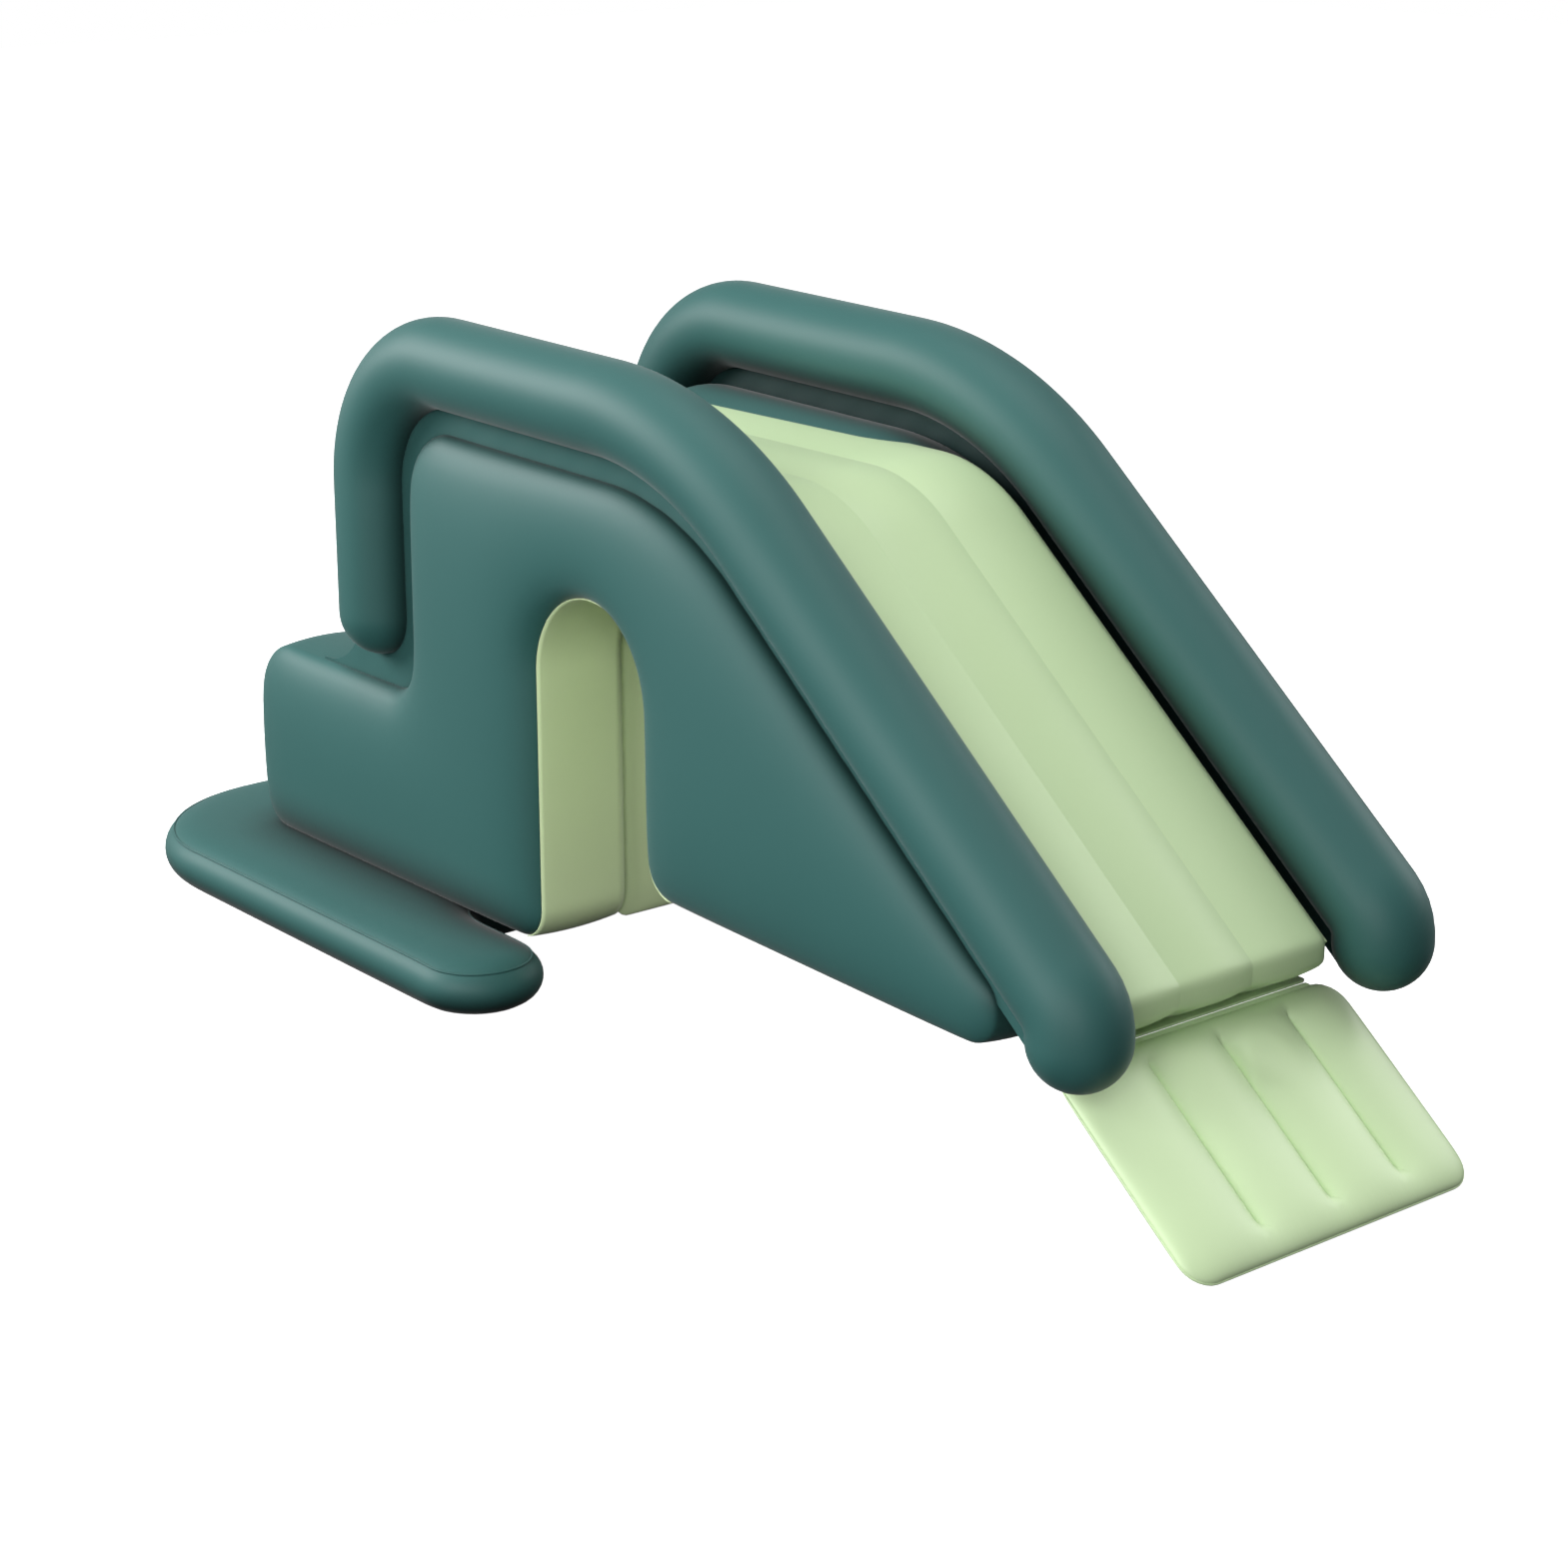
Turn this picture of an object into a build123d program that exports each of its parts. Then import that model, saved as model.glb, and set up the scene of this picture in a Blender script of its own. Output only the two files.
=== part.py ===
from build123d import *
import math
import os

# Inflatable wave slide that straddles a low pool wall. Millimetres, +Z up, +X down the slide,
# origin on the ground under the middle of the whole object.

# overall sizes, inflated
overall_length = 2000.0
overall_width = 800.0
overall_height = 850.0

# base pad: a horseshoe lying on the ground under the stairs
pad_height = 76.0
pad_edge_radius = 35.0
pad_rear_corner = 235.0
pad_arm_end_x = -90.0
pad_arm_outer_corner = 85.0
pad_arm_inner_corner = 80.0
pad_notch_half = 233.0
pad_notch_rear_x = -330.0
pad_notch_corner = 60.0

# handrails: one bent tube on each side
rail_radius = 58.0
rail_margin = 104.0
rail_leg_x = -488.0
rail_leg_lift = 97.0
rail_top_fall = 11.0
rail_bend_x = 183.0
rail_foot_setback = 167.0
rail_foot_z = 268.0
rail_foot_run = 2.85
rail_rear_bend = 175.0
rail_front_bend = 476.0
rail_foot_bend = 50.0
rail_end_flat = 1.0

# flat web that joins each rail to its side wall
web_width = 32.0
web_thickness = 2.4
web_skirt = 152.0
web_skirt_edge = 3.0

# side walls: the two inflated profile panels
wall_proud = 42.0
wall_thickness = 165.0
wall_edge_radius = 40.0
wall_corner = 44.0
stair_rear_x = -795.0
tread_height = 345.0
tread_rear_corner = 75.0
tread_inner_corner = 50.0
stair_front_corner = 10.0
front_underside_z = 205.0
front_tip_z = 184.0
front_tip_corner = 42.0

# tunnel that the pool wall passes through
tunnel_rear_x = -130.0
tunnel_width = 228.0
tunnel_below_deck = 160.0
liner_thickness = 2.0
wall_panel_recess = 14.0
wall_panel_thickness = 3.0

# slide bed: three channels side by side
channel_count = 3
bed_side_gap = 9.0
bed_rear_x = -300.0
bed_thickness = 82.0
bed_below_rail = 30.0
bed_deck_gap = 30.0
bed_nose_setback = 202.0
bed_front_bend = 225.0
bed_corner = 30.0
bed_nose_rise = 32.0
bed_nose_corner = 20.0
bed_gap = 2.0
flange_sink = 6.0
channel_edge_radius = 16.0
flange_width = 8.0
flange_thickness = 2.0

# landing mat hung on the end of the bed
mat_width = 443.0
mat_thickness = 36.0
mat_hinge_setback = 232.0
mat_hinge_z = 184.0
mat_start = 16.0
mat_ground_gap = 0.5
mat_corner = 34.0
mat_seam_count = 3
mat_seam_width = 9.0
mat_seam_depth = 10.0
mat_seam_margin = 46.0
mat_rim_flat = 1.0
tab_thickness = 3.0
hinge_gap = 0.8
strip_length = 26.0

# inflation valves: a seat in the skin, an inner check flap and a hinged cap
valve_flange_radius = 18.0
valve_flange_height = 3.0
valve_flange_proud = 0.8
valve_neck_radius = 10.0
valve_bore_radius = 6.5
valve_neck_depth = 16.0
valve_neck_proud = 2.0
valve_pocket_radius = 12.0
valve_pocket_depth = 34.0
flap_radius = 9.5
flap_thickness = 1.0
flap_gap = 0.2
cap_radius = 12.0
cap_height = 2.5
cap_gap = 0.3
plug_clearance = 0.3
plug_length = 6.0
plug_taper = 1.4
cap_hinge_offset = 14.4
strap_width = 8.0
strap_height = 1.0
strap_clearance = 0.1
hinge_post_thickness = 3.0
hinge_post_gap = 0.2
pad_valve_inset = 100.0
pad_valve_y = 220.0
stairs_valve_z = 190.0
rail_valve_z = 560.0
bed_valve_ahead = 260.0
mat_valve_reach = 75.0

# small shared sizes
crisp_corner = 1.0
cut_overrun = 1.0
arch_spring_gap = 0.1

HANG = (Align.CENTER, Align.CENTER, Align.MAX)
STAND = (Align.CENTER, Align.CENTER, Align.MIN)

# sizes worked out from the ones above
half_length = overall_length / 2
half_width = overall_width / 2
rail_y = half_width - rail_margin - rail_radius
rail_top_slope = rail_top_fall / (rail_bend_x - rail_leg_x)
rail_top_z = overall_height - rail_radius + rail_rear_bend * rail_top_slope
rail_bend_z = rail_top_z - rail_top_fall
rail_foot_x = half_length - rail_foot_setback
slope_angle = math.atan2(rail_bend_z - rail_foot_z, rail_foot_x - rail_bend_x)
slope_drop = math.tan(slope_angle)
rail_foot_drop = rail_foot_run + rail_foot_bend * math.tan(math.pi / 4 - slope_angle / 2)
rail_leg_end_z = tread_height + rail_leg_lift
wall_outer = rail_y + wall_proud
wall_inner = wall_outer - wall_thickness
rail_to_wall = rail_radius + web_width
deck_z = rail_top_z - rail_radius - bed_deck_gap
bed_half = rail_y - rail_radius - bed_side_gap
bed_bottom_z = deck_z - bed_thickness
tunnel_front_x = tunnel_rear_x + tunnel_width
tunnel_top_z = deck_z - tunnel_below_deck
wall_panel_x = tunnel_rear_x - wall_panel_recess
arch_radius = tunnel_width / 2 - arch_spring_gap
bed_nose_x = half_length - bed_nose_setback
bed_heel_z = mat_hinge_z + tab_thickness
mat_hinge_x = half_length - mat_hinge_setback
mat_half_thickness = mat_thickness / 2
mat_end_round = mat_half_thickness + mat_ground_gap
mat_reach = half_length - mat_end_round - mat_hinge_x
mat_angle = math.atan2(mat_hinge_z - mat_end_round, mat_reach)
mat_length = math.hypot(mat_reach, mat_hinge_z - mat_end_round) + mat_half_thickness

os.makedirs("parts", exist_ok=True)


def save(shape, node):
    export_step(shape, "parts/" + node + ".step")


def rounded_face(corners):
    """A flat face from corners (x, y, radius)."""
    points = [(x, y) for x, y, _ in corners]
    radii = [radius for _, _, radius in corners]
    return make_face(FilletPolyline(*points, radius=radii, close=True))


def side_slab(corners, y_low, y_high):
    """A slab standing across the object, its outline given in X and Z."""
    face = Plane.XZ.offset(-y_low) * rounded_face(corners)
    return extrude(face, amount=y_high - y_low, dir=(0, 1, 0))


def mirrored(shape):
    return mirror(shape, about=Plane.XZ)


def shifted_path(points, distance):
    """The corners of a bent line moved sideways, to the right as one goes along it."""
    legs = []
    for (x1, z1), (x2, z2) in zip(points, points[1:]):
        length = math.hypot(x2 - x1, z2 - z1)
        legs.append((x1, z1, (x2 - x1) / length, (z2 - z1) / length))
    x, z, dx, dz = legs[0]
    moved = [(x + distance * dz, z - distance * dx)]
    for (x1, z1, dx1, dz1), (x2, z2, dx2, dz2) in zip(legs, legs[1:]):
        ax, az = x1 + distance * dz1, z1 - distance * dx1
        bx, bz = x2 + distance * dz2, z2 - distance * dx2
        along = ((bx - ax) * dz2 - (bz - az) * dx2) / (dx1 * dz2 - dz1 * dx2)
        moved.append((ax + along * dx1, az + along * dz1))
    x, z = points[-1]
    moved.append((x + distance * legs[-1][3], z - distance * legs[-1][2]))
    return moved


def rail_corners():
    """The corners of the rail's centreline, from the leg's end to the foot's."""
    return [
        (rail_leg_x, rail_leg_end_z),
        (rail_leg_x, rail_top_z),
        (rail_bend_x, rail_bend_z),
        (rail_foot_x, rail_foot_z),
        (rail_foot_x, rail_foot_z - rail_foot_drop),
    ]


def rail_line_z(x):
    """Height of the rail's centreline on its sloping run."""
    return rail_bend_z - (x - rail_bend_x) * slope_drop


def below_slope(distance, x):
    """Height of the line that runs this far under the sloping rail, square to it."""
    return rail_line_z(x) - distance / math.cos(slope_angle)


def below_slope_x(distance, z):
    """Where that line reaches a height."""
    return rail_bend_x + (rail_bend_z - distance / math.cos(slope_angle) - z) / slope_drop


# handrail and its path


def make_rail():
    """A bent tube with rounded ends, on the right side."""
    end_round = rail_radius - rail_end_flat
    points = [(x, 0, z) for x, z in rail_corners()]
    points[0] = (rail_leg_x, 0, rail_leg_end_z - end_round)
    points[-1] = (rail_foot_x, 0, rail_foot_z - rail_foot_drop - end_round)
    path = FilletPolyline(*points, radius=[rail_rear_bend, rail_front_bend, rail_foot_bend])
    section = Plane(origin=path @ 0, z_dir=path % 0) * Circle(rail_radius)
    tube = sweep(section, path=path)
    ends = tube.edges().filter_by(GeomType.CIRCLE).filter_by(Plane.XY).sort_by(Axis.Z)
    tube = fillet([ends[0], edge_near(ends, rail_leg_x)], end_round)
    return Pos(0, -rail_y, 0) * tube


def edge_near(edges, x):
    """The lowest of these edges that is centred on x."""
    level = [edge for edge in edges if abs(edge.arc_center.X - x) < 1]
    return level[0]


# side wall


def wall_corners():
    leg_edge, top_edge, bend_edge, tip_edge, _ = shifted_path(rail_corners(), rail_to_wall)
    tip_x = below_slope_x(rail_to_wall, front_tip_z)
    return [
        (stair_rear_x, pad_height, wall_corner),
        (stair_rear_x, tread_height, tread_rear_corner),
        (leg_edge[0], tread_height, tread_inner_corner),
        (*top_edge, rail_rear_bend - rail_to_wall),
        (*bend_edge, rail_front_bend - rail_to_wall),
        (tip_x, front_tip_z, front_tip_corner),
        (tunnel_front_x, front_underside_z, wall_corner),
        (tunnel_front_x, tunnel_top_z, arch_radius),
        (tunnel_rear_x, tunnel_top_z, arch_radius),
        (tunnel_rear_x, pad_height, wall_corner),
    ]


def make_wall():
    """An inflated profile panel, rounded on its outer face."""
    slab = side_slab(wall_corners(), -wall_outer, -wall_inner)
    outer_face = slab.faces().sort_by(Axis.Y)[0]
    slab = fillet(outer_face.edges(), wall_edge_radius)
    return slab - side_slab(bed_corners(), -bed_half - flange_width, 0)


def rail_shadow():
    """The rail's outline seen from the side."""
    inner = shifted_path(rail_corners(), rail_radius)
    outer = shifted_path(rail_corners(), -rail_radius)
    bends = [rail_rear_bend, rail_front_bend]
    corners = [(*inner[0], crisp_corner)]
    for point, bend in zip(inner[1:3], bends):
        corners += [(*point, bend - rail_radius)]
    corners += [(*inner[3], crisp_corner), (*outer[4], crisp_corner)]
    corners += [(*outer[3], rail_foot_bend + rail_radius)]
    for point, bend in zip(outer[2:0:-1], bends[::-1]):
        corners += [(*point, bend + rail_radius)]
    corners += [(*outer[0], crisp_corner)]
    ends = [Pos(*rail_corners()[index]) * Circle(rail_radius) for index in (0, -1)]
    return rounded_face(corners) + ends[0] + ends[1]


def make_web(wall):
    """The flat strip between rail and wall, with a skirt round the end of the rail's leg."""
    skirt_z = rail_leg_end_z - rail_radius / 3
    inside_x = (rail_leg_x + rail_to_wall + tunnel_rear_x) / 2
    inside_z = (tunnel_top_z + bed_bottom_z) / 2
    buried_z = tread_height - wall_edge_radius
    foot_z = front_tip_z + flange_width
    skirt_x = rail_leg_x - web_skirt
    flare = web_skirt - rail_radius
    hollow = Pos(skirt_x, tread_height + web_skirt_edge + flare) * Circle(flare)
    points = [
        (skirt_x, buried_z),
        (skirt_x, skirt_z),
        (rail_leg_x - rail_radius, skirt_z),
        (rail_leg_x, rail_top_z),
        (rail_bend_x, rail_bend_z),
        (rail_foot_x, rail_foot_z),
        (rail_foot_x - rail_radius / 2, foot_z),
        (below_slope_x(rail_to_wall, front_tip_z) - front_tip_corner, foot_z),
        (tunnel_front_x + wall_corner, inside_z),
        (inside_x, inside_z),
        (inside_x, buried_z),
    ]
    face = make_face(Polyline(*points, close=True)) - rail_shadow() - hollow
    face = Plane.XZ.offset(rail_y - web_thickness / 2) * face
    strip = extrude(face, amount=web_thickness, dir=(0, -1, 0)) - wall
    return strip.solids().sort_by(SortBy.VOLUME)[-1]


# tunnel lining


def make_liner():
    """The pale band welded round the inside of the arch."""
    foot_z = pad_height + wall_corner
    outer = [
        (tunnel_rear_x, foot_z, crisp_corner),
        (tunnel_rear_x, tunnel_top_z, arch_radius),
        (tunnel_front_x, tunnel_top_z, arch_radius),
        (tunnel_front_x, foot_z, crisp_corner),
    ]
    inner_rear_x = tunnel_rear_x + liner_thickness
    inner_front_x = tunnel_front_x - liner_thickness
    inner_top_z = tunnel_top_z - liner_thickness
    inner_radius = arch_radius - liner_thickness
    inner = [
        (inner_rear_x, pad_height, crisp_corner),
        (inner_rear_x, inner_top_z, inner_radius),
        (inner_front_x, inner_top_z, inner_radius),
        (inner_front_x, pad_height, crisp_corner),
    ]
    y_low = wall_edge_radius - wall_outer
    band = side_slab(outer, y_low, -wall_inner)
    band -= side_slab(inner, y_low - cut_overrun, cut_overrun - wall_inner)
    trim_z = front_underside_z + wall_corner
    centre_x = (tunnel_rear_x + tunnel_front_x) / 2
    trim = Pos(centre_x + tunnel_width / 2, 0, trim_z / 2) * Box(tunnel_width, overall_width, trim_z)
    return (band - trim).solids().sort_by(SortBy.VOLUME)[-1]


# stairs: the middle chamber with its tread and landing


def make_stairs():
    riser_x = rail_leg_x + rail_to_wall
    front_x = wall_panel_x - wall_panel_thickness
    corners = [
        (stair_rear_x, pad_height, wall_corner),
        (stair_rear_x, tread_height, tread_rear_corner),
        (riser_x, tread_height, tread_inner_corner),
        (riser_x, deck_z, bed_corner),
        (bed_rear_x - bed_gap, deck_z, stair_front_corner),
        (bed_rear_x - bed_gap, bed_bottom_z, stair_front_corner),
        (front_x, bed_bottom_z, stair_front_corner),
        (front_x, pad_height, stair_front_corner),
    ]
    return side_slab(corners, -wall_inner, wall_inner)


def make_tunnel_panel():
    """The pale skin on the front of the middle chamber, set back from the side walls."""
    height = bed_bottom_z - pad_height
    panel = Box(wall_panel_thickness, 2 * wall_inner, height)
    return Pos(wall_panel_x - wall_panel_thickness / 2, 0, pad_height + height / 2) * panel


# base pad


def make_pad():
    arm_width = half_width - pad_notch_half
    corners = [
        (-half_length, -half_width, pad_rear_corner),
        (pad_arm_end_x, -half_width, pad_arm_outer_corner),
        (pad_arm_end_x, arm_width - half_width, pad_arm_inner_corner),
        (pad_notch_rear_x, arm_width - half_width, pad_notch_corner),
        (pad_notch_rear_x, half_width - arm_width, pad_notch_corner),
        (pad_arm_end_x, half_width - arm_width, pad_arm_inner_corner),
        (pad_arm_end_x, half_width, pad_arm_outer_corner),
        (-half_length, half_width, pad_rear_corner),
    ]
    slab = extrude(rounded_face(corners), amount=pad_height)
    rims = slab.faces().sort_by(Axis.Z)
    return fillet(rims[0].edges() + rims[-1].edges(), pad_edge_radius)


# slide bed


def bed_top_corners(sink):
    """The sliding surface's bend, this far below it."""
    gap = bed_below_rail + sink
    deck = deck_z - sink
    return below_slope_x(gap, deck), deck, gap


def bed_corners():
    bend_x, bend_z, gap = bed_top_corners(0)
    under_x, under_z, under_gap = bed_top_corners(bed_thickness)
    heel_x = below_slope_x(under_gap, bed_heel_z)
    return [
        (bed_rear_x, deck_z, bed_corner),
        (bend_x, bend_z, bed_front_bend),
        (bed_nose_x, below_slope(gap, bed_nose_x), bed_corner),
        (bed_nose_x, bed_heel_z + bed_nose_rise, bed_nose_corner),
        (heel_x, bed_heel_z, bed_nose_corner),
        (under_x, under_z, bed_front_bend - bed_thickness),
        (bed_rear_x, bed_bottom_z, bed_corner),
    ]


def make_channel(index):
    width = 2 * bed_half / channel_count
    y_low = -bed_half + index * width
    slab = side_slab(bed_corners(), y_low, y_low + width)
    sides = slab.faces().sort_by(Axis.Y)
    return fillet(sides[0].edges() + sides[-1].edges(), channel_edge_radius)


def make_flange():
    """The weld flange along one long edge of the bed."""
    body = side_slab(bed_corners(), -bed_half - flange_width, -bed_half)
    bend_x, bend_z, gap = bed_top_corners(flange_sink)
    low_x, low_z, low_gap = bed_top_corners(flange_sink + flange_thickness)
    start_x = bed_rear_x + bed_corner
    end_x = bed_nose_x - bed_corner
    end_corner = flange_thickness / 4
    band = [
        (start_x, bend_z, end_corner),
        (bend_x, bend_z, bed_front_bend),
        (end_x, below_slope(gap, end_x), end_corner),
        (end_x, below_slope(low_gap, end_x), end_corner),
        (low_x, low_z, bed_front_bend),
        (start_x, low_z, end_corner),
    ]
    return side_slab(band, -bed_half - flange_width, -bed_half) & body


# landing mat, built lying flat with its hinge on the Y axis and then tipped down


def tipped(shape):
    return Pos(mat_hinge_x, 0, mat_hinge_z) * Rot(0, math.degrees(mat_angle), 0) * shape


def make_mat():
    reach = mat_length - mat_start
    centre_x = mat_start + reach / 2
    outline = Pos(centre_x, 0, 0) * RectangleRounded(reach, mat_width, mat_corner)
    slab = extrude(outline, mat_half_thickness, both=True)
    rims = slab.faces().sort_by(Axis.Z)
    slab = fillet(rims[0].edges() + rims[-1].edges(), mat_half_thickness - mat_rim_flat)
    pitch = mat_width / (mat_seam_count + 1)
    seam_length = reach - 2 * mat_seam_margin
    for number in range(mat_seam_count):
        y = -mat_width / 2 + pitch * (number + 1)
        for side in (-1, 1):
            seam = Box(seam_length, mat_seam_width, 2 * mat_seam_depth)
            slab -= Pos(centre_x, y, side * mat_half_thickness) * seam
    return tipped(slab)


def make_mat_tab():
    """The flat welded edge by which the mat hangs."""
    length = mat_start + mat_half_thickness - hinge_gap
    tab = Box(length, mat_width - 2 * mat_corner, tab_thickness)
    return Pos(hinge_gap + length / 2, 0, 0) * tab


def make_hinge_strip():
    """The flexible strip from under the bed's end to the mat's hinge line."""
    x_end = mat_hinge_x - hinge_gap
    strip = Box(strip_length, mat_width - 2 * mat_corner, tab_thickness)
    return Pos(x_end - strip_length / 2, 0, bed_heel_z - tab_thickness / 2) * strip


# inflation valve, built with its axis up and the skin at Z = 0


def valve_pocket():
    recess = Cylinder(valve_flange_radius, valve_flange_height, align=HANG)
    return recess + Cylinder(valve_pocket_radius, valve_pocket_depth, align=HANG)


def valve_seat():
    flange_height = valve_flange_height + valve_flange_proud
    flange = Pos(0, 0, valve_flange_proud) * Cylinder(valve_flange_radius, flange_height, align=HANG)
    neck_height = valve_neck_depth + valve_neck_proud
    neck = Pos(0, 0, valve_neck_proud) * Cylinder(valve_neck_radius, neck_height, align=HANG)
    bore = Cylinder(valve_bore_radius, neck_height + 2 * cut_overrun, align=HANG)
    bore = Pos(0, 0, valve_neck_proud + cut_overrun) * bore
    post_foot = valve_flange_proud / 2
    post_height = valve_neck_proud + cap_gap - strap_height - strap_clearance - post_foot
    post_align = (Align.MAX, Align.CENTER, Align.MIN)
    post = Box(hinge_post_thickness, strap_width, post_height, align=post_align)
    post = Pos(-cap_hinge_offset - hinge_post_gap, 0, post_foot) * post
    return flange + neck + post - bore


def valve_flap():
    return Pos(0, 0, -valve_neck_depth - flap_gap) * Cylinder(flap_radius, flap_thickness, align=HANG)


def valve_cap():
    base_z = valve_neck_proud + cap_gap
    disc = Pos(0, 0, base_z) * Cylinder(cap_radius, cap_height, align=STAND)
    plug_radius = valve_bore_radius - plug_clearance
    plug = Pos(0, 0, base_z) * Cone(plug_radius - plug_taper, plug_radius, plug_length, align=HANG)
    strap_align = (Align.MIN, Align.CENTER, Align.MIN)
    strap = Box(cap_hinge_offset, strap_width, strap_height, align=strap_align)
    return disc + plug + Pos(-cap_hinge_offset, 0, base_z) * strap


def valve_places():
    """Each chamber's valve: where it sits, which way it faces and where its cap's hinge lies."""
    leg_face_x = rail_leg_x - rail_radius
    pad_x = pad_valve_inset - half_length
    under_x = tunnel_front_x + bed_valve_ahead
    under_z = below_slope(bed_below_rail + bed_thickness, under_x)
    down_x = -math.sin(slope_angle)
    down_z = -math.cos(slope_angle)
    up, down, rear, front = (0, 0, 1), (0, 0, -1), (-1, 0, 0), (1, 0, 0)
    return {
        "pad": ((pad_x, pad_valve_y, pad_height), up, front),
        "stairs": ((stair_rear_x, 0, stairs_valve_z), rear, down),
        "right_rail": ((leg_face_x, -rail_y, rail_valve_z), rear, down),
        "left_rail": ((leg_face_x, rail_y, rail_valve_z), rear, down),
        "bed": ((under_x, 0, under_z), (down_x, 0, down_z), (-down_z, 0, down_x)),
        "mat": mat_valve_place(),
    }


def mat_valve_place():
    cos_a = math.cos(mat_angle)
    sin_a = math.sin(mat_angle)
    along = mat_valve_reach
    pitch = mat_width / (mat_seam_count + 1)
    x = mat_hinge_x + along * cos_a - mat_half_thickness * sin_a
    z = mat_hinge_z - along * sin_a - mat_half_thickness * cos_a
    return (x, pitch / 2, z), (-sin_a, 0, -cos_a), (cos_a, 0, -sin_a)


def place_valve(shape, place):
    origin, axis, away_from_hinge = place
    return Plane(origin=origin, x_dir=away_from_hinge, z_dir=axis) * shape


# build everything

rail = make_rail()
wall = make_wall()
web = make_web(wall)
liner = make_liner()
flange = make_flange()
places = valve_places()
pocket = valve_pocket()


def pocketed(shape, name):
    return shape - place_valve(pocket, places[name])


save(pocketed(rail, "right_rail"), "right_handrail")
save(pocketed(mirrored(rail), "left_rail"), "left_handrail")
for side, copy in (("right", lambda shape: shape), ("left", mirrored)):
    save(copy(wall), side + "_side_wall")
    save(copy(web), side + "_rail_web")
    save(copy(liner), side + "_tunnel_liner")
    save(copy(flange), side + "_bed_flange")

save(pocketed(make_pad(), "pad"), "base_pad")
save(pocketed(make_stairs(), "stairs"), "stair_block")
save(make_tunnel_panel(), "tunnel_rear_panel")
for index, name in enumerate(("right", "middle", "left")):
    channel = make_channel(index)
    if name == "middle":
        channel = pocketed(channel, "bed")
    save(channel, "slide_channel_" + name)

mat = make_mat()
tab = tipped(make_mat_tab()) - mat
save(pocketed(mat, "mat"), "landing_mat")
save(tab, "mat_hinge_tab")
save(make_hinge_strip(), "mat_hinge_strip")

for name, place in places.items():
    save(place_valve(valve_seat(), place), name + "_valve_seat")
    save(place_valve(valve_flap(), place), name + "_valve_flap")
    save(place_valve(valve_cap(), place), name + "_valve_cap")
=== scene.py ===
import math

import bmesh
import bpy
import numpy as np
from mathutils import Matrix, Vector
from mathutils.geometry import delaunay_2d_cdt


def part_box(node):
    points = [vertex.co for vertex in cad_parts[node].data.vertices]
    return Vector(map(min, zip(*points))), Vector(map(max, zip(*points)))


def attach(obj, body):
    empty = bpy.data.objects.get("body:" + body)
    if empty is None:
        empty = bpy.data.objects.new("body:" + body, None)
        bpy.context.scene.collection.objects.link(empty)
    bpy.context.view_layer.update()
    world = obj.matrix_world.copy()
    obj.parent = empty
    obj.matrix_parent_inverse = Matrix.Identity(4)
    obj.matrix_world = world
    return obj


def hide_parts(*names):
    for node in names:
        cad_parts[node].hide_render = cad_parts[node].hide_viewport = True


# Inflatable wave slide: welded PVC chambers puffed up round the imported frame.
# Metres, X down the slide, Z up, both sides alike about Y = 0.

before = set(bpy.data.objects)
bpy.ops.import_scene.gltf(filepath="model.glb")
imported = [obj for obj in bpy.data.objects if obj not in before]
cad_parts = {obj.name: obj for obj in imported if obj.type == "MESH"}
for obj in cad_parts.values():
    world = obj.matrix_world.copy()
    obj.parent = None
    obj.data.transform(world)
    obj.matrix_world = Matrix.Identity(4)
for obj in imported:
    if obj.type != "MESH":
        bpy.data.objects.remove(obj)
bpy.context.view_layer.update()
print("frame loaded,", len(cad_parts), "parts")

# ---- lines that the seams follow, the same as the frame's ----

railLow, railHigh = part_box("right_handrail")
wallLow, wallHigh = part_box("right_side_wall")
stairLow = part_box("stair_block")[0]
padLow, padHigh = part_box("base_pad")

form = {
    "legEndZ": 0.442,        # centre of the leg's rounded end
    "railTopZ": 0.79487,     # rail's centreline over the leg
    "bendX": 0.183,          # where the rail turns down
    "bendZ": 0.78387,
    "footZ": 0.268,          # where it turns to the upright
    "footDrop": 0.027,
    "rearBend": 0.175,
    "frontBend": 0.476,
    "footBend": 0.050,
    "webWidth": 0.032,       # flat strip between rail and wall
    "treadZ": 0.345,
    "tunnelRearX": -0.130,
    "tunnelFrontX": 0.098,
    "tunnelTopZ": 0.54687,
    "deckZ": 0.70687,
    "bedBelowRail": 0.030,   # square to the slope
    "footCorner": 0.044,     # round edges of the chambers that stand on the pad
    "treadCorner": 0.075,
    "innerCorner": 0.050,    # where the tread meets the riser
    "archCorner": 0.1139,
    "tipZ": 0.184,           # lowest end of the side wall
    "tipCorner": 0.042,
    "frontFootZ": 0.205,     # foot of the arch's front leg
}

railRadius = (railHigh.y - railLow.y) / 2
railY = -(railHigh.y + railLow.y) / 2
legX = railLow.x + railRadius
footX = railHigh.x - railRadius
rimY = railY                 # plane of the weld between web, rail and wall
wallInnerY = -wallHigh.y
wallProud = -wallLow.y - rimY
padTop = padHigh.z
slopeAngle = math.atan2(form["bendZ"] - form["footZ"], footX - form["bendX"])

railCorners = [
    (legX, form["legEndZ"]),
    (legX, form["railTopZ"]),
    (form["bendX"], form["bendZ"]),
    (footX, form["footZ"]),
    (footX, form["footZ"] - form["footDrop"]),
]


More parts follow.
